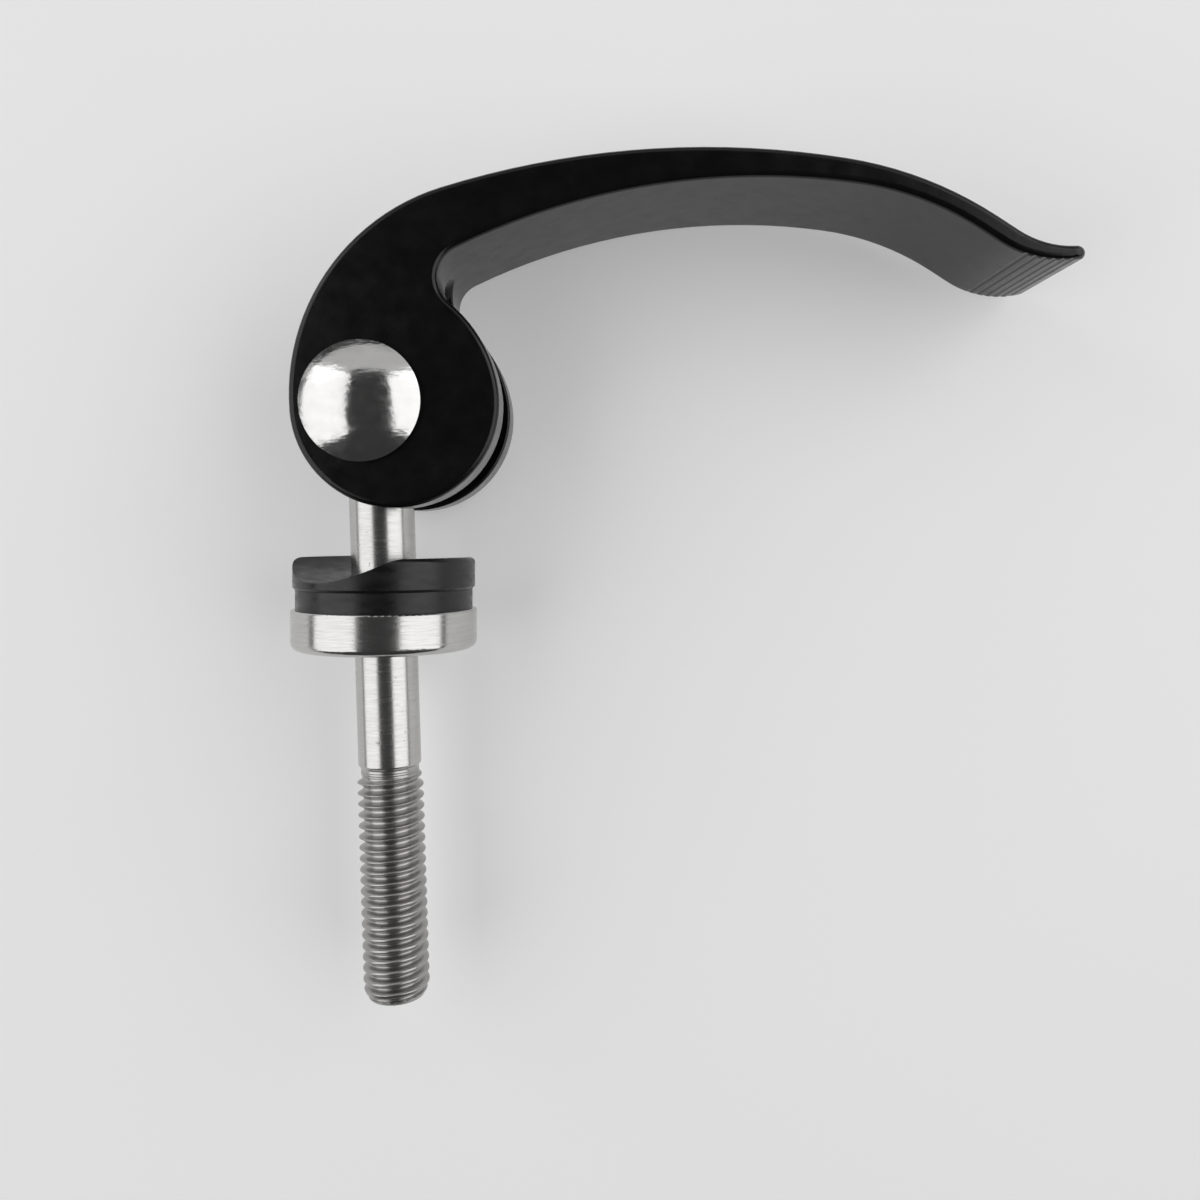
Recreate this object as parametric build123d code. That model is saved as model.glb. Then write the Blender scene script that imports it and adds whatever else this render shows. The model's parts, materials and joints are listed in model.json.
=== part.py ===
from build123d import *

import os
from math import cos, degrees, hypot, radians, sin, sqrt

# Cam lever: a cast lever on a pivot pin, a threaded stud, and two loose washers on the stud.
#
# Frame, in millimetres: the stud lies along Y with its thread towards -Y, the pivot pin is parallel
# to Z, and the lever's arm reaches towards +X. The origin is on the stud's axis where the thread
# begins. The lever's outline is drawn about the pivot, with the arm standing out sideways.

# ---- stud ----
shank_dia = 5.9            # plain shank between the pin and the washers
lower_shank_dia = 5.7      # rolled blank from inside the washers to the thread
shank_step_height = 13.0   # where the two meet, above the thread
thread_dia = 6.0           # M6, pitch 1
thread_length = 20.8
runout_dia = 5.2           # root of the run-out between the shank and the thread
runout_slope = 0.35        # length of the slope on each side of that root
end_dia = 5.0              # flat at the chamfered end
end_chamfer = 0.9          # length of that chamfer
spigot_dia = 5.0           # reduced end inside the pin
spigot_recess = 0.4        # from the spigot's end to the far side of the pin
spigot_clearance = 0.02    # radial, in the pin's cross hole
pivot_height = 33.0        # from the start of the thread to the pin's axis

# ---- pivot pin ----
pin_dia = 8.0
pin_end_chamfer = 0.4
head_dia = 10.4
head_rim = 0.35            # straight edge under the dome
dome_height = 1.7
head_play = 0.1            # axial, between the head and the near ear
pin_clearance = 0.05       # radial, running fit in both ears

# ---- lever: cam head ----
lever_width = 14.8
cam_radius = 9.0
cam_offset_x = 2.8         # from the pivot to the centre of the cam
cam_offset_y = -0.2
edge_round = 0.52          # along both side outlines
back_radius = 18.5         # round behind the head
back_start = 183.0         # direction from the cam's centre in which the cam runs into the back
back_end = 105.5           # direction in which the back runs into the top of the arm
neck_radius = 11.8         # between the cam and the crotch
neck_start = 10.0          # direction in which the cam runs into the neck
crotch_radius = 2.8

# ---- lever: arm and tip ----
top_radius = 76.5
top_end = 79.1             # direction from the top's centre in which it turns down
arm_thickness = 2.07       # where the top turns down
arm_taper = 2.4            # between the top and the underside there
underside_radius = 60.0
shoulder_radius = 33.0     # where the top turns down
under_shoulder_radius = 26.0
tip_slope = 35.0           # of the steepest stretch before the tip
tip_slope_length = 2.15    # of that stretch, on top
flick_radius = 8.3         # hollow on top of the tip
belly_radius = 9.5         # round under the tip
belly_end_slope = 10.0     # where the belly runs into the nose
nose_radius = 0.54
nose_flat = 0.6            # level stretch on top of the nose
tip_corner_radius = 1.3    # of the tip's two corners, seen along Y
tip_corner_bulge = 0.6     # round of those corners, seen along Z

# ---- lever: slot for the stud, and grip ridges ----
slot_clearance = 0.15      # each side of the shank
slot_floor_tilt = 32.0
slot_exit = 145.0          # direction from the crotch's centre in which the floor's crown comes out
slot_rim_round = 0.25      # where the slot opens through the cam, the back and the crotch
ridge_count = 6
ridge_pitch = 0.8
ridge_depth = 0.1
ridge_start = 1.0          # along the belly, from the nose to the first groove

# ---- washers ----
bore_clearance = 0.27      # radial, between the shank and both bores
washer_lean = -1.8         # how the loose washers stand on the stud
washer_dia = 16.8          # steel washer
washer_thickness = 3.65
washer_lower_round = 0.75
washer_upper_round = 0.15
saddle_dia = 16.45         # saddle washer, upper tier
saddle_tier_height = 2.9
saddle_base_dia = 16.0     # saddle washer, lower tier
saddle_base_height = 1.8
saddle_tier_chamfer = 0.25
saddle_rim_round = 0.45
saddle_drop = 13.5         # from the pivot down to the ridges on both sides of the groove
saddle_turn = -35.0        # how far the loose saddle is turned on the stud
groove_depth = 2.1
groove_ease = 2.3          # radius of the groove over that of the cam, which rolls in it
washers_meet = pivot_height - saddle_drop - saddle_tier_height - saddle_base_height


def polar(centre, radius, direction):
    """Point at a distance and direction from a centre."""
    angle = radians(direction)
    return (centre[0] + radius * cos(angle), centre[1] + radius * sin(angle))


def towards(centre, other, radius):
    """Point at a distance from a centre, on the line to another point."""
    span = hypot(other[0] - centre[0], other[1] - centre[1])
    across = (other[0] - centre[0]) / span
    up = (other[1] - centre[1]) / span
    return (centre[0] + radius * across, centre[1] + radius * up)


def crossing(centre_a, radius_a, centre_b, radius_b):
    """Crossing of two circles on the left of the way from a to b."""
    across = centre_b[0] - centre_a[0]
    up = centre_b[1] - centre_a[1]
    span = hypot(across, up)
    along = (radius_a**2 - radius_b**2 + span**2) / (2 * span)
    aside = sqrt(radius_a**2 - along**2)
    x = centre_a[0] + (along * across - aside * up) / span
    y = centre_a[1] + (along * up + aside * across) / span
    return (x, y)


def short_arc(centre, start, end):
    """The shorter arc about a centre between two points."""
    middle = ((start[0] + end[0]) / 2, (start[1] + end[1]) / 2)
    radius = hypot(start[0] - centre[0], start[1] - centre[1])
    return ThreePointArc(start, towards(centre, middle, radius), end)


def round_under_slope(circle_centre, circle_radius, slope_end, round_radius):
    """Centre of the round that touches a circle from inside and the slope that ends at a point."""
    foot = polar(slope_end, round_radius, 270 - tip_slope)
    uphill = (-cos(radians(tip_slope)), sin(radians(tip_slope)))
    across = foot[0] - circle_centre[0]
    up = foot[1] - circle_centre[1]
    half = across * uphill[0] + up * uphill[1]
    rest = across**2 + up**2 - (circle_radius - round_radius) ** 2
    slide = sqrt(half**2 - rest) - half
    return (foot[0] + slide * uphill[0], foot[1] + slide * uphill[1])


# ---- lever outline about the pivot: centres of its arcs, and points where one runs into the next ----
cam_centre = (cam_offset_x, cam_offset_y)
cam_bottom = polar(cam_centre, cam_radius, 270)
cam_to_back = polar(cam_centre, cam_radius, back_start)
cam_to_neck = polar(cam_centre, cam_radius, neck_start)

back_centre = polar(cam_to_back, -back_radius, back_start)
back_to_top = polar(back_centre, back_radius, back_end)
top_centre = polar(back_to_top, -top_radius, back_end)
top_to_shoulder = polar(top_centre, top_radius, top_end)
shoulder_centre = polar(top_to_shoulder, -shoulder_radius, top_end)
shoulder_to_slope = polar(shoulder_centre, shoulder_radius, 90 - tip_slope)
slope_to_flick = polar(shoulder_to_slope, tip_slope_length, -tip_slope)
flick_centre = polar(slope_to_flick, flick_radius, 90 - tip_slope)
flick_end = polar(flick_centre, flick_radius, 270)
nose_top = polar(flick_end, nose_flat, 0)
nose_centre = polar(nose_top, nose_radius, 270)

belly_centre = polar(nose_centre, nose_radius - belly_radius, 270 + belly_end_slope)
belly_to_nose = polar(nose_centre, nose_radius, 270 + belly_end_slope)
slope_to_belly = polar(belly_centre, belly_radius, 270 - tip_slope)
under_top_end = polar(top_to_shoulder, -arm_thickness, top_end)
underside_centre = polar(under_top_end, -underside_radius, top_end + arm_taper)
under_shoulder_centre = round_under_slope(
    underside_centre, underside_radius, slope_to_belly, under_shoulder_radius
)
underside_to_shoulder = towards(underside_centre, under_shoulder_centre, underside_radius)
under_shoulder_to_slope = polar(under_shoulder_centre, under_shoulder_radius, 90 - tip_slope)

neck_centre = polar(cam_to_neck, -neck_radius, neck_start)
crotch_centre = crossing(
    neck_centre, neck_radius + crotch_radius, underside_centre, underside_radius - crotch_radius
)
neck_to_crotch = towards(neck_centre, crotch_centre, neck_radius)
crotch_to_underside = towards(underside_centre, crotch_centre, underside_radius)


def lever_outline():
    """Closed side outline of the lever, all in arcs and lines that run into each other."""
    return Wire(
        [
            short_arc(back_centre, back_to_top, cam_to_back),
            short_arc(cam_centre, cam_to_back, cam_bottom),
            short_arc(cam_centre, cam_bottom, cam_to_neck),
            short_arc(neck_centre, cam_to_neck, neck_to_crotch),
            ThreePointArc(
                neck_to_crotch, polar(crotch_centre, crotch_radius, 180), crotch_to_underside
            ),
            short_arc(underside_centre, crotch_to_underside, underside_to_shoulder),
            short_arc(under_shoulder_centre, underside_to_shoulder, under_shoulder_to_slope),
            Line(under_shoulder_to_slope, slope_to_belly),
            short_arc(belly_centre, slope_to_belly, belly_to_nose),
            ThreePointArc(belly_to_nose, polar(nose_centre, nose_radius, 0), nose_top),
            Line(nose_top, flick_end),
            short_arc(flick_centre, flick_end, slope_to_flick),
            Line(slope_to_flick, shoulder_to_slope),
            short_arc(shoulder_centre, shoulder_to_slope, top_to_shoulder),
            short_arc(top_centre, top_to_shoulder, back_to_top),
        ]
    )


def stud_slot():
    """Space between the two ears: flat sides and a round floor that tilts up to the crotch."""
    half_width = shank_dia / 2 + slot_clearance
    depth = 2 * back_radius
    past_exit = crotch_radius / 2
    floor = Pos(0, -half_width, 0) * Rot(0, 90, 0) * Cylinder(half_width, depth)
    sides = Pos(0, -half_width, 0) * Box(
        depth, depth, 2 * half_width, align=(Align.CENTER, Align.MAX, Align.CENTER)
    )
    exit_x, exit_y = polar(crotch_centre, crotch_radius, slot_exit)
    before_exit = Pos(past_exit - depth / 2, 0, 0)
    return Pos(exit_x, exit_y, 0) * Rot(0, 0, slot_floor_tilt) * before_exit * (floor + sides)


def grip_grooves():
    """Row of fine grooves across the belly, with the grip ridges between them."""
    groove_radius = ridge_pitch / 2
    groove_centre_radius = belly_radius + groove_radius - ridge_depth
    cutters = []
    for index in range(ridge_count):
        along = ridge_start + index * ridge_pitch
        direction = 270 + belly_end_slope - degrees(along / belly_radius)
        x, y = polar(belly_centre, groove_centre_radius, direction)
        cutters.append(Pos(x, y, 0) * Cylinder(groove_radius, 2 * lever_width))
    return cutters


def tip_corner_cutter():
    """What lies outside one rounded and bulging corner of the tip, on the +Z side."""
    nose_x, nose_y = nose_centre
    upright = Pos(nose_x + nose_radius - tip_corner_radius, nose_y, lever_width / 2 - tip_corner_radius)
    room = 2 * tip_corner_radius
    block = Box(room, room, room, align=(Align.MIN, Align.CENTER, Align.MIN))
    rim_radius = tip_corner_radius - tip_corner_bulge
    rim = Torus(rim_radius, tip_corner_bulge) + Cylinder(rim_radius, 2 * room)
    return upright * (block - Rot(90, 0, 0) * rim)


def make_lever():
    body = extrude(Face(lever_outline()), lever_width / 2, both=True)
    side_edges = body.faces().filter_by(Axis.Z).edges()
    body = fillet(side_edges, edge_round)
    corner = tip_corner_cutter()
    body -= [corner, mirror(corner, Plane.XY)]
    body -= grip_grooves()
    slot = stud_slot()
    slotted = body - slot
    rims = new_edges(body, slot, combined=slotted).filter_by(GeomType.LINE, reverse=True)
    body = fillet(rims, slot_rim_round)
    body -= Cylinder(pin_dia / 2 + pin_clearance, 2 * lever_width)
    return Pos(0, pivot_height, 0) * body


def make_pin():
    """Pin through both ears, with a low domed head on the near side and the stud's cross hole."""
    near_side = lever_width / 2
    head_z = near_side + head_play
    shank = Pos(0, 0, head_z) * Cylinder(
        pin_dia / 2, near_side + head_z, align=(Align.CENTER, Align.CENTER, Align.MAX)
    )
    shank = chamfer(shank.edges().group_by(Axis.Z)[0], pin_end_chamfer)
    head_radius = head_dia / 2
    dome_z = head_z + head_rim
    dome_radius = (head_radius**2 + dome_height**2) / (2 * dome_height)
    dome_centre = (0, dome_z + dome_height - dome_radius)
    dome_top = (0, dome_z + dome_height)
    half_head = Wire(
        [
            Line((0, head_z), (head_radius, head_z)),
            Line((head_radius, head_z), (head_radius, dome_z)),
            short_arc(dome_centre, (head_radius, dome_z), dome_top),
            Line(dome_top, (0, head_z)),
        ]
    )
    pin = shank + revolve(Plane.XZ * Face(half_head), Axis.Z)
    pin -= Rot(90, 0, 0) * Cylinder(spigot_dia / 2 + spigot_clearance, 2 * pin_dia)
    return Pos(0, pivot_height, 0) * pin


def make_stud():
    """Stud turned as one piece: spigot, two-step shank, run-out and chamfered M6 end."""
    shoulder = pivot_height - pin_dia / 2
    spigot_end = pivot_height + pin_dia / 2 - spigot_recess
    thread_end = -thread_length
    half_outline = Polyline(
        (0, spigot_end),
        (spigot_dia / 2, spigot_end),
        (spigot_dia / 2, shoulder),
        (shank_dia / 2, shoulder),
        (shank_dia / 2, shank_step_height),
        (lower_shank_dia / 2, shank_step_height),
        (lower_shank_dia / 2, 2 * runout_slope),
        (runout_dia / 2, runout_slope),
        (thread_dia / 2, 0),
        (thread_dia / 2, thread_end + end_chamfer),
        (end_dia / 2, thread_end),
        (0, thread_end),
        close=True,
    )
    return revolve(make_face(half_outline), Axis.Y)


def seat_on_stud(washer):
    """Put a washer, made on +Z with the other washer's face at its origin, on the stud."""
    return Pos(0, washers_meet, 0) * Rot(0, 0, washer_lean) * Rot(-90, 0, 0) * washer


def make_saddle_washer():
    """Two-tier plastic washer with a round groove across its top for the cam."""
    base_top = saddle_base_height
    height = saddle_base_height + saddle_tier_height
    base = Cylinder(
        saddle_base_dia / 2, base_top, align=(Align.CENTER, Align.CENTER, Align.MIN)
    )
    tier = Pos(0, 0, base_top) * Cylinder(
        saddle_dia / 2, saddle_tier_height, align=(Align.CENTER, Align.CENTER, Align.MIN)
    )
    rims = tier.edges().filter_by(GeomType.CIRCLE).group_by(Axis.Z)
    tier = chamfer(rims[0], saddle_tier_chamfer)
    rims = tier.edges().filter_by(GeomType.CIRCLE).group_by(Axis.Z)
    tier = fillet(rims[-1], saddle_rim_round)
    groove_radius = cam_radius + groove_ease
    groove = Cylinder(groove_radius, 2 * saddle_dia)
    groove = Rot(0, saddle_turn, 0) * groove
    groove = Rot(90, 0, 0) * groove
    washer = base + tier
    washer -= Pos(0, 0, height - groove_depth + groove_radius) * groove
    washer -= Cylinder(shank_dia / 2 + bore_clearance, 4 * height)
    return seat_on_stud(washer)


def make_steel_washer():
    """Thick turned washer with a rounded lower rim."""
    washer = Cylinder(
        washer_dia / 2, washer_thickness, align=(Align.CENTER, Align.CENTER, Align.MAX)
    )
    rims = washer.edges().filter_by(GeomType.CIRCLE).group_by(Axis.Z)
    washer = fillet(rims[0], washer_lower_round)
    rims = washer.edges().filter_by(GeomType.CIRCLE).group_by(Axis.Z)
    washer = fillet(rims[-1], washer_upper_round)
    washer -= Cylinder(shank_dia / 2 + bore_clearance, 4 * washer_thickness)
    return seat_on_stud(washer)


parts = {
    "lever": make_lever(),
    "cam_pin": make_pin(),
    "stud": make_stud(),
    "saddle_washer": make_saddle_washer(),
    "steel_washer": make_steel_washer(),
}

os.makedirs("parts", exist_ok=True)
for name, shape in parts.items():
    export_step(shape, f"parts/{name}.step")
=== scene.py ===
import json
from math import cos, pi, radians, sin, tan

import bpy
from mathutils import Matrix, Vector

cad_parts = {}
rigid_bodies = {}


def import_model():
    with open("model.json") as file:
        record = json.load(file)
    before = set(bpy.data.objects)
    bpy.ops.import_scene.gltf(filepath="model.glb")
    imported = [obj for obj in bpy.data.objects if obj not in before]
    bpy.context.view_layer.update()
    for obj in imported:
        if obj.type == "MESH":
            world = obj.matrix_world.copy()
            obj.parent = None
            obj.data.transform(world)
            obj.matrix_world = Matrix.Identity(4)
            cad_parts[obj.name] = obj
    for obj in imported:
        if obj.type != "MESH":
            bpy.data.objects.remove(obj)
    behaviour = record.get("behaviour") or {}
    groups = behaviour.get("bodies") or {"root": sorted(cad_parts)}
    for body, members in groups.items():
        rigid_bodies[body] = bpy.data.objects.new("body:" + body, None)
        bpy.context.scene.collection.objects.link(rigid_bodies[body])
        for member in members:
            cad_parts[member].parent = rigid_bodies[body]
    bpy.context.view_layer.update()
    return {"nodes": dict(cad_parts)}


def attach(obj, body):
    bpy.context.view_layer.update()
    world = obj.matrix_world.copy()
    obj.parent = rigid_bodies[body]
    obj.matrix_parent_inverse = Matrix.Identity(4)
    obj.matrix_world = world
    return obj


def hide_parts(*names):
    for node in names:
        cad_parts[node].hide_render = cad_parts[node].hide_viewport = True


# Looks for the cam lever: a black cast lever on a polished pin, a bright threaded stud, a black
# plastic saddle washer and a brushed steel washer. Lengths are in millimetres and become metres
# through MM, except for the lamps and the camera, which are placed in metres.

MM = 0.001

for spare in list(bpy.data.objects):
    bpy.data.objects.remove(spare)

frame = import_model()


# ---- shader nodes ----

class Finish:
    """A procedural material built around one Principled shader, with coordinates in millimetres."""

    def __init__(self, name, **values):
        self.material = bpy.data.materials.new(name)
        self.material.use_nodes = True
        self.tree = self.material.node_tree
        self.shader = self.tree.nodes["Principled BSDF"]
        for label, value in values.items():
            self.shader.inputs[label.replace("_", " ")].default_value = value
        coords = self.tree.nodes.new("ShaderNodeTexCoord")
        self.point = self.scaled(coords.outputs["Object"], (1 / MM,) * 3)

    def wire(self, label, source):
        """Drives one input of the shader."""
        self.tree.links.new(source, self.shader.inputs[label])

    def fill(self, socket, value):
        """Links a socket to another node's output, or gives it a plain value."""
        if isinstance(value, bpy.types.NodeSocket):
            self.tree.links.new(value, socket)
        else:
            socket.default_value = value

    def scaled(self, vector, factors):
        node = self.tree.nodes.new("ShaderNodeVectorMath")
        node.operation = "MULTIPLY"
        self.fill(node.inputs[0], vector)
        node.inputs[1].default_value = factors
        return node.outputs["Vector"]

    def split(self, vector):
        node = self.tree.nodes.new("ShaderNodeSeparateXYZ")
        self.fill(node.inputs[0], vector)
        return node.outputs

    def joined(self, x, y, z):
        node = self.tree.nodes.new("ShaderNodeCombineXYZ")
        for socket, value in zip(node.inputs, (x, y, z)):
            self.fill(socket, value)
        return node.outputs["Vector"]

    def maths(self, operation, *values):
        node = self.tree.nodes.new("ShaderNodeMath")
        node.operation = operation
        for socket, value in zip(node.inputs, values):
            self.fill(socket, value)
        return node.outputs["Value"]

    def times(self, first, second):
        return self.maths("MULTIPLY", first, second)

    def noise(self, vector, scale, detail=2.0, rough=0.5):
        node = self.tree.nodes.new("ShaderNodeTexNoise")
        self.fill(node.inputs["Vector"], vector)
        node.inputs["Scale"].default_value = scale
        node.inputs["Detail"].default_value = detail
        node.inputs["Roughness"].default_value = rough
        return node.outputs["Fac"]

    def ramp(self, value, span, result, smooth=False):
        """The value, stretched from one span of numbers to another and held at its ends."""
        node = self.tree.nodes.new("ShaderNodeMapRange")
        node.interpolation_type = "SMOOTHSTEP" if smooth else "LINEAR"
        self.fill(node.inputs["Value"], value)
        ends = ("From Min", "From Max", "To Min", "To Max")
        for label, number in zip(ends, (*span, *result)):
            node.inputs[label].default_value = number
        return node.outputs["Result"]

    def mixed(self, share, first, second):
        """A colour between two others."""
        node = self.tree.nodes.new("ShaderNodeMix")
        node.data_type = "RGBA"
        self.fill(node.inputs["Factor"], share)
        self.fill(node.inputs["A"], first)
        self.fill(node.inputs["B"], second)
        return node.outputs["Result"]

    def bump(self, height, depth, normal=None):
        """A normal for relief of this depth in millimetres, on top of another normal if given."""
        node = self.tree.nodes.new("ShaderNodeBump")
        node.inputs["Distance"].default_value = depth * MM
        self.fill(node.inputs["Height"], height)
        if normal is not None:
            self.fill(node.inputs["Normal"], normal)
        return node.outputs["Normal"]

    def radius_about_y(self):
        x, _, z = self.split(self.point)
        return self.maths("SQRT", self.maths("ADD", self.times(x, x), self.times(z, z)))


def grey(value, warm=0.0):
    """A neutral colour, slightly warm when asked."""
    return (value * (1 + warm), value, value * (1 - warm), 1.0)


# ---- finishes ----

# Most values of a noise texture lie within these, so a ramp from them uses its whole result.
BROAD = (0.3, 0.7)
NARROW = (0.35, 0.65)


def black_casting():
    """Smooth black paint over a casting, with a faint orange peel."""
    made = Finish("black_casting_paint", IOR=1.42)
    clouds = made.noise(made.point, scale=0.25, detail=3)
    made.wire("Base Color", made.mixed(clouds, grey(0.0018), grey(0.0034)))
    wear = made.noise(made.point, scale=0.6, detail=4)
    made.wire("Roughness", made.ramp(wear, BROAD, (0.19, 0.28)))
    peel = made.bump(made.noise(made.point, scale=2.2), depth=0.004)
    grain = made.noise(made.point, scale=9.0, detail=1)
    made.wire("Normal", made.bump(grain, depth=0.001, normal=peel))
    return made.material


def polished_steel():
    """Bright steel with shallow waves and smears."""
    made = Finish("polished_pin_steel", Metallic=1.0)
    smear = made.noise(made.scaled(made.point, (1.0, 1.6, 1.0)), scale=0.55, detail=3)
    made.wire("Base Color", made.mixed(smear, grey(0.55, 0.012), grey(0.65, 0.008)))
    haze = made.noise(made.point, scale=1.3, detail=4)
    made.wire("Roughness", made.ramp(haze, BROAD, (0.11, 0.20)))
    waves = made.noise(made.scaled(made.point, (1.0, 2.4, 1.0)), scale=0.9)
    ripple = made.noise(made.point, scale=3.2, detail=3, rough=0.6)
    relief = made.bump(ripple, depth=0.004, normal=made.bump(waves, depth=0.02))
    fine = made.noise(made.point, scale=9.0)
    made.wire("Normal", made.bump(fine, depth=0.001, normal=relief))
    return made.material


def stud_steel():
    """Bright bar, finely turned around the Y axis, with small pits; on the rolled thread it is rougher,
    and its colour is darkened there as painted shade.
    """
    made = Finish("bright_stud_steel", Metallic=1.0)
    height = made.split(made.point)["Y"]
    threaded = made.ramp(height, (-0.4, 0.8), (1.0, 0.0), smooth=True)
    turned = made.scaled(made.point, (0.5, 7.0, 0.5))
    lines = made.noise(turned, scale=1.0, detail=3, rough=0.6)
    clouds = made.noise(made.point, scale=0.6, detail=3)
    speckle = made.noise(made.point, scale=2.6, detail=3, rough=0.6)
    pits = made.ramp(speckle, (0.66, 0.74), (0.0, 1.0))

    bar = made.mixed(clouds, grey(0.50, 0.014), grey(0.60, 0.012))
    bar = made.mixed(made.ramp(lines, NARROW, (0.0, 0.28)), bar, grey(0.38, 0.018))
    # Painted shade: the colour is darkened towards grey 0.36 over the thread, standing in for shade in
    # its grooves; the added roughness below is the rolled finish itself.
    painted_thread_shade, pit_share = 0.75, 0.6
    body = made.mixed(made.times(threaded, painted_thread_shade), bar, grey(0.36, 0.02))
    made.wire("Base Color", made.mixed(made.times(pits, pit_share), body, grey(0.14, 0.02)))

    worn = made.ramp(lines, BROAD, (0.19, 0.28))
    rougher_on_thread = 0.07
    made.wire("Roughness", made.maths("ADD", worn, made.times(threaded, rougher_on_thread)))

    waves = made.noise(made.scaled(made.point, (1.3, 0.4, 1.3)), scale=1.0)
    line_height = 0.3
    relief = made.maths("SUBTRACT", made.times(lines, line_height), pits)
    made.wire("Normal", made.bump(relief, depth=0.005, normal=made.bump(waves, depth=0.003)))
    return made.material


def brushed_washer():
    """Steel brushed in rings around the Y axis, with short flecks."""
    made = Finish("brushed_washer_steel", Metallic=1.0)
    x, y, _ = made.split(made.point)
    lines_per_mm = 8.0
    across = made.times(made.radius_about_y(), lines_per_mm)
    along = made.times(y, lines_per_mm)
    lines = made.noise(made.joined(across, along, made.times(x, 0.5)), 1.0, detail=4, rough=0.65)
    flecks = made.noise(made.joined(across, along, made.times(x, 2.0)), 0.8, detail=2, rough=0.6)
    clouds = made.noise(made.point, scale=0.35)
    plate = made.mixed(clouds, grey(0.52, 0.014), grey(0.60, 0.012))
    dark_lines = made.ramp(lines, NARROW, (0.0, 0.45))
    made.wire("Base Color", made.mixed(dark_lines, plate, grey(0.42, 0.018)))
    made.wire("Roughness", made.ramp(lines, BROAD, (0.12, 0.26)))
    brush = made.bump(lines, depth=0.004)
    made.wire("Normal", made.bump(flecks, depth=0.005, normal=brush))
    return made.material


def black_plastic():
    """Moulded plastic with streaks of uneven gloss."""
    made = Finish("black_saddle_plastic", IOR=1.47)
    clouds = made.noise(made.point, scale=0.4, detail=3)
    made.wire("Base Color", made.mixed(clouds, grey(0.003), grey(0.008)))
    flow = made.noise(made.scaled(made.point, (0.5, 1.6, 0.5)), scale=0.8, detail=4, rough=0.6)
    made.wire("Roughness", made.ramp(flow, NARROW, (0.24, 0.42)))
    grain = made.bump(made.noise(made.point, scale=5.0, detail=3, rough=0.6), depth=0.005)
    made.wire("Normal", made.bump(flow, depth=0.012, normal=grain))
    return made.material


# ---- meshes ----

SHARP_EDGE = 42    # degrees between faces, from which an edge is shaded as sharp


def lathe_mesh(name, rows, material):
    """A closed surface through rings of points, with each end closed by a fan."""
    count = len(rows[0])
    last = (len(rows) - 1) * count
    points = [point for row in rows for point in row]
    faces = []
    for start in range(0, last, count):
        for k in range(count):
            following = (k + 1) % count
            above = start + count
            faces.append((start + k, start + following, above + following, above + k))
    for start, upper in ((0, False), (last, True)):
        ring = range(start, start + count)
        points.append(tuple(sum((Vector(points[i]) for i in ring), Vector()) / count))
        centre = len(points) - 1
        for k in range(count):
            here, following = start + k, start + (k + 1) % count
            faces.append((here, following, centre) if upper else (following, here, centre))
    mesh = bpy.data.meshes.new(name)
    mesh.from_pydata([(x * MM, y * MM, z * MM) for x, y, z in points], [], faces)
    mesh.validate()
    mesh.shade_smooth()
    mesh.set_sharp_from_angle(angle=radians(SHARP_EDGE))
    mesh.materials.append(material)
    piece = bpy.data.objects.new(name, mesh)
    bpy.context.scene.collection.objects.link(piece)
    return piece


def blend_over(value, low, high):
    """Smooth step from 0 at low to 1 at high."""
    share = min(1.0, max(0.0, (value - low) / (high - low)))
    return share * share * (3 - 2 * share)


# ---- stud with its rolled thread; heights along Y, depths measured down from Y = 0 ----

PITCH = 1.0
CREST_RADIUS = 3.0
BLANK_RADIUS = 2.85       # of the bar that the thread is rolled in
SHANK_RADIUS = 2.95
RUNOUT_RADIUS = 2.62      # of the short neck above the thread
SPIGOT_RADIUS = 2.5
SPIGOT_EDGE = 0.25        # chamfer across the spigot's end
SPIGOT_EDGE_HEIGHT = 0.2
THREAD_END = -20.8
CHAMFER_START = -19.5
CHAMFER_DEPTH = 0.52
CHAMFER_CURVE = 1.8       # power that rounds the chamfer's start
STEP_HEIGHT = 13.0        # of the step up to the thicker shank, inside the washers
SHOULDER_HEIGHT = 29.0    # from the shank to the spigot
SPIGOT_END = 36.6

CREST_PHASE = -0.82       # height of one crest on the side of the camera
THREAD_DEPTH = 0.53
FILLING = (4.0, 14.0)     # depths between which crests turn round and roots turn sharp
SHARP_CREST = 0.16        # rounded shares of half a pitch at the top of the thread
ROUND_ROOT = 0.68
ROUNDING_SHIFT = 0.40     # what the crest gains and the root loses further down

NECK_FADE = (-0.62, -0.22)
THREAD_FADE = (0.05, 0.95)
MARKS_FADE = (-0.25, 0.05)
MARKS_HEIGHT = 0.022      # of the fine rings that the thread dies leave
MARKS_SPACING = 0.21

FINE_ROWS_TOP = 0.9       # rows are close up to here, and then only where the radius changes
PLAIN_ROWS = (1.5, 4, 8, 12.99, 13.01, 16, 20, 24, 28.99, 29.01, 33, SPIGOT_END - SPIGOT_EDGE_HEIGHT)
ROUND_STEPS = 96
ROWS_PER_PITCH = 30


def thread_radius(height, turn):
    """Radius of the rolled thread, with sharp crests near the shank and round ones lower down."""
    phase = (height - turn * PITCH - CREST_PHASE) / PITCH % 1.0
    away = min(phase, 1 - phase) * 2
    filled = blend_over(-height, *FILLING)
    crest = SHARP_CREST + ROUNDING_SHIFT * filled
    root = ROUND_ROOT - ROUNDING_SHIFT * filled
    whole_fall = 1 - (crest + root) / 2
    if away < crest:
        fallen = away * away / (2 * crest)
    elif away < 1 - root:
        fallen = away - crest / 2
    else:
        fallen = whole_fall - (1 - away) ** 2 / (2 * root)
    return CREST_RADIUS - THREAD_DEPTH * fallen / whole_fall


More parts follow.
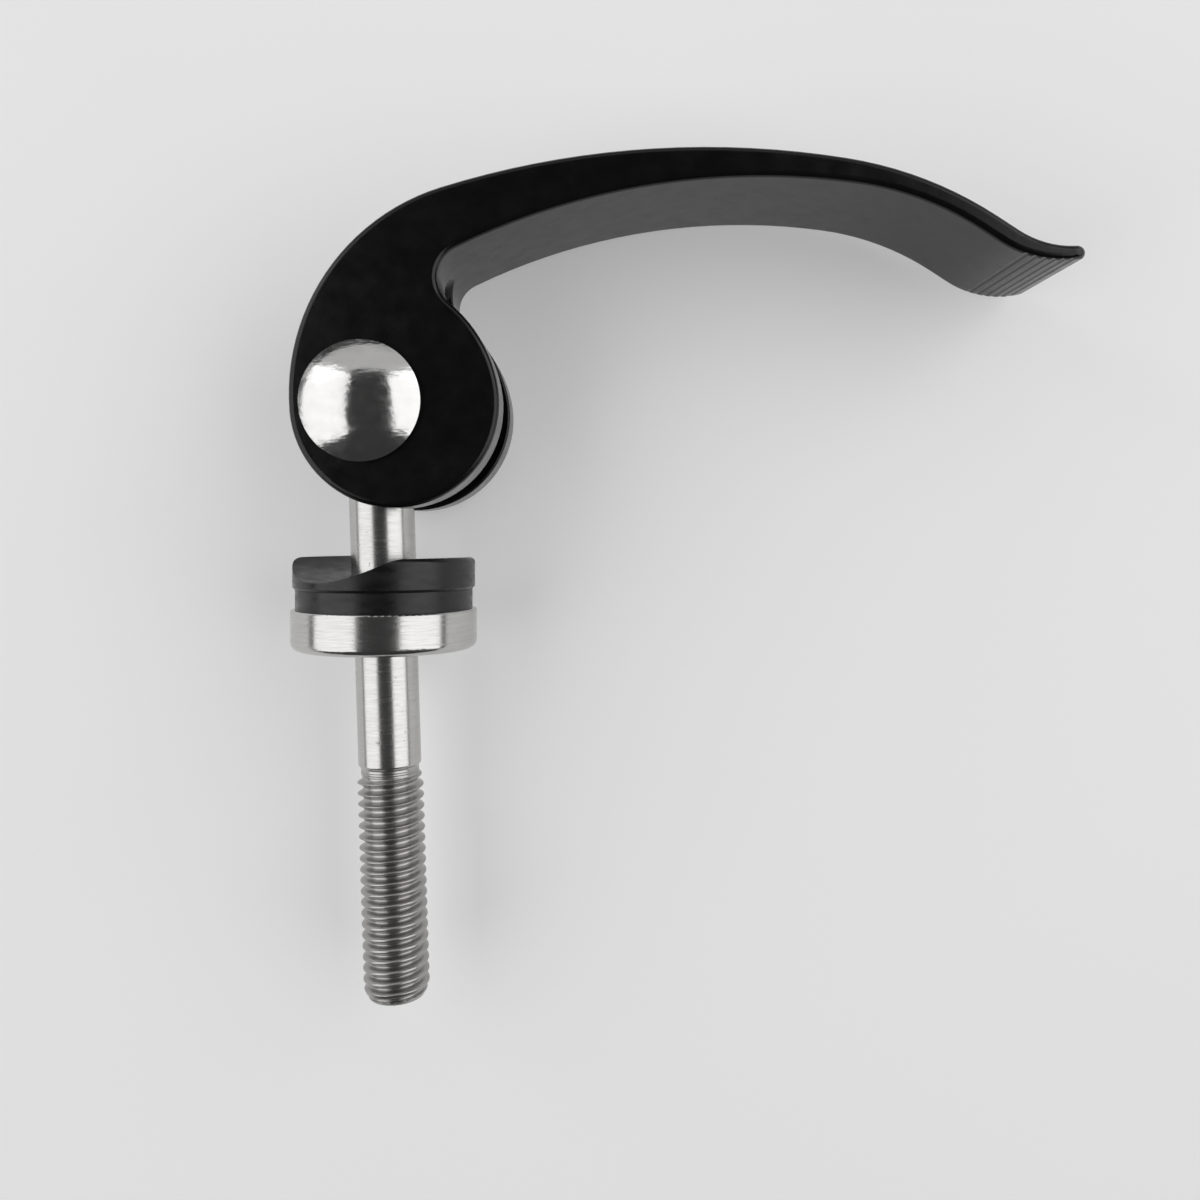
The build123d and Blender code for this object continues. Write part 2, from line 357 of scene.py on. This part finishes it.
def stud_radius(height, turn):
    """Radius of the stud at a height and a share of a turn."""
    if height > SHOULDER_HEIGHT:
        return SPIGOT_RADIUS
    if height > STEP_HEIGHT:
        return SHANK_RADIUS
    blank = BLANK_RADIUS + (RUNOUT_RADIUS - BLANK_RADIUS) * blend_over(-height, *NECK_FADE)
    begun = blend_over(-height, *THREAD_FADE)
    rings = MARKS_HEIGHT * sin(2 * pi * height / MARKS_SPACING)
    die_marks = rings * blend_over(-height, *MARKS_FADE) * (1 - begun)
    radius = blank + (thread_radius(height, turn) - blank) * begun + die_marks
    worn = (CHAMFER_START - height) / (CHAMFER_START - THREAD_END)
    if worn > 0:
        radius = min(radius, CREST_RADIUS - CHAMFER_DEPTH * worn ** CHAMFER_CURVE)
    return radius


def ring_of_points(height, radius_at):
    """Points around the Y axis, with the radius that radius_at gives at each share of a turn."""
    points = []
    for k in range(ROUND_STEPS):
        turn = k / ROUND_STEPS
        radius = radius_at(turn)
        points.append((radius * sin(2 * pi * turn), height, radius * cos(2 * pi * turn)))
    return points


def make_stud(material):
    fine_length = FINE_ROWS_TOP - THREAD_END
    fine_rows = int(fine_length * ROWS_PER_PITCH)
    heights = [THREAD_END + fine_length * k / fine_rows for k in range(fine_rows + 1)]
    heights.extend(PLAIN_ROWS)
    rows = [ring_of_points(height, lambda turn: stud_radius(height, turn)) for height in heights]
    rows.append(ring_of_points(SPIGOT_END, lambda turn: SPIGOT_RADIUS - SPIGOT_EDGE))
    return lathe_mesh("stud_threaded", rows, material)


stud = make_stud(stud_steel())
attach(stud, "stud_and_pin")
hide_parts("stud")


# ---- finishes on the solids that stay ----

def finish_node(node, material):
    mesh = frame["nodes"][node].data
    mesh.materials.clear()
    mesh.materials.append(material)


finish_node("lever", black_casting())
finish_node("cam_pin", polished_steel())
finish_node("saddle_washer", black_plastic())
finish_node("steel_washer", brushed_washer())


# ---- floor ----

FLOOR_Z = -8.45           # just under the lever
FLOOR_HALF = 1200.0
FLOOR_WHITENESS = 0.25    # share of plain white that the camera and reflections see in it


def pale_floor():
    made = Finish("pale_floor", Roughness=0.9, Specular_IOR_Level=0.1)
    clouds = made.noise(made.point, scale=0.02)
    made.wire("Base Color", made.mixed(clouds, grey(0.94), grey(0.97)))
    nodes, links = made.tree.nodes, made.tree.links
    paths = nodes.new("ShaderNodeLightPath")
    seen = made.maths("MAXIMUM", paths.outputs["Is Camera Ray"], paths.outputs["Is Glossy Ray"])
    seen = made.maths("MAXIMUM", seen, paths.outputs["Is Transmission Ray"])
    white = nodes.new("ShaderNodeEmission")
    blend = nodes.new("ShaderNodeMixShader")
    links.new(made.times(seen, FLOOR_WHITENESS), blend.inputs["Fac"])
    links.new(made.shader.outputs["BSDF"], blend.inputs[1])
    links.new(white.outputs["Emission"], blend.inputs[2])
    links.new(blend.outputs["Shader"], nodes["Material Output"].inputs["Surface"])
    return made.material


def make_floor():
    signs = ((-1, -1), (1, -1), (1, 1), (-1, 1))
    corners = [(x * FLOOR_HALF * MM, y * FLOOR_HALF * MM, FLOOR_Z * MM) for x, y in signs]
    mesh = bpy.data.meshes.new("floor")
    mesh.from_pydata(corners, [], [(0, 1, 2, 3)])
    mesh.materials.append(pale_floor())
    floor = bpy.data.objects.new("floor", mesh)
    bpy.context.scene.collection.objects.link(floor)


make_floor()


# ---- lights: metres and degrees ----

AIM = Vector((0.024, 0.020, 0.0))
LAMP_DISTANCE = 0.45
WORLD_STRENGTH = 0.05


def softbox(name, heading, inner, outer, spread, radiance):
    """A rectangular soft light seen between two tilts from straight up, and spread to each side."""
    tilt, half = radians((inner + outer) / 2), radians((outer - inner) / 2)
    light = bpy.data.lights.new(name, "AREA")
    light.shape = "RECTANGLE"
    light.size = 2 * LAMP_DISTANCE * tan(radians(spread))
    light.size_y = 2 * LAMP_DISTANCE * tan(half)
    light.energy = radiance * pi * light.size * light.size_y
    lamp = bpy.data.objects.new(name, light)
    around = radians(heading)
    way = Vector((sin(tilt) * cos(around), sin(tilt) * sin(around), cos(tilt)))
    lamp.location = AIM + way * LAMP_DISTANCE
    lamp.rotation_euler = way.to_track_quat("Z", "Y").to_euler()
    lamp.visible_camera = False
    bpy.context.scene.collection.objects.link(lamp)


softbox("softbox_left", heading=175, inner=26, outer=82, spread=35, radiance=1.50)
softbox("softbox_right", heading=5, inner=26, outer=82, spread=35, radiance=1.56)
softbox("panel_behind", heading=90, inner=40, outer=74, spread=56, radiance=0.58)

world = bpy.data.worlds.new("studio")
world.use_nodes = True
background = world.node_tree.nodes["Background"]
background.inputs["Color"].default_value = (1, 1, 1, 1)
background.inputs["Strength"].default_value = WORLD_STRENGTH
bpy.context.scene.world = world


# ---- camera: metres and degrees ----

CAMERA_PLACE = (0.0205, 0.02118, 0.096)
CAMERA_ROLL = -1.8
LENS, SENSOR = 31.2, 36
SHIFT_X, SHIFT_Y = -0.0042, -0.0567
CLIP_START = 0.005

camera_data = bpy.data.cameras.new("camera")
camera_data.sensor_width = SENSOR
camera_data.lens = LENS
camera_data.clip_start = CLIP_START
camera_data.shift_x = SHIFT_X
camera_data.shift_y = SHIFT_Y
camera = bpy.data.objects.new("camera", camera_data)
camera.location = CAMERA_PLACE
camera.rotation_euler = (0, 0, radians(CAMERA_ROLL))
bpy.context.scene.collection.objects.link(camera)
bpy.context.scene.camera = camera
bpy.context.scene.view_settings.view_transform = "Standard"
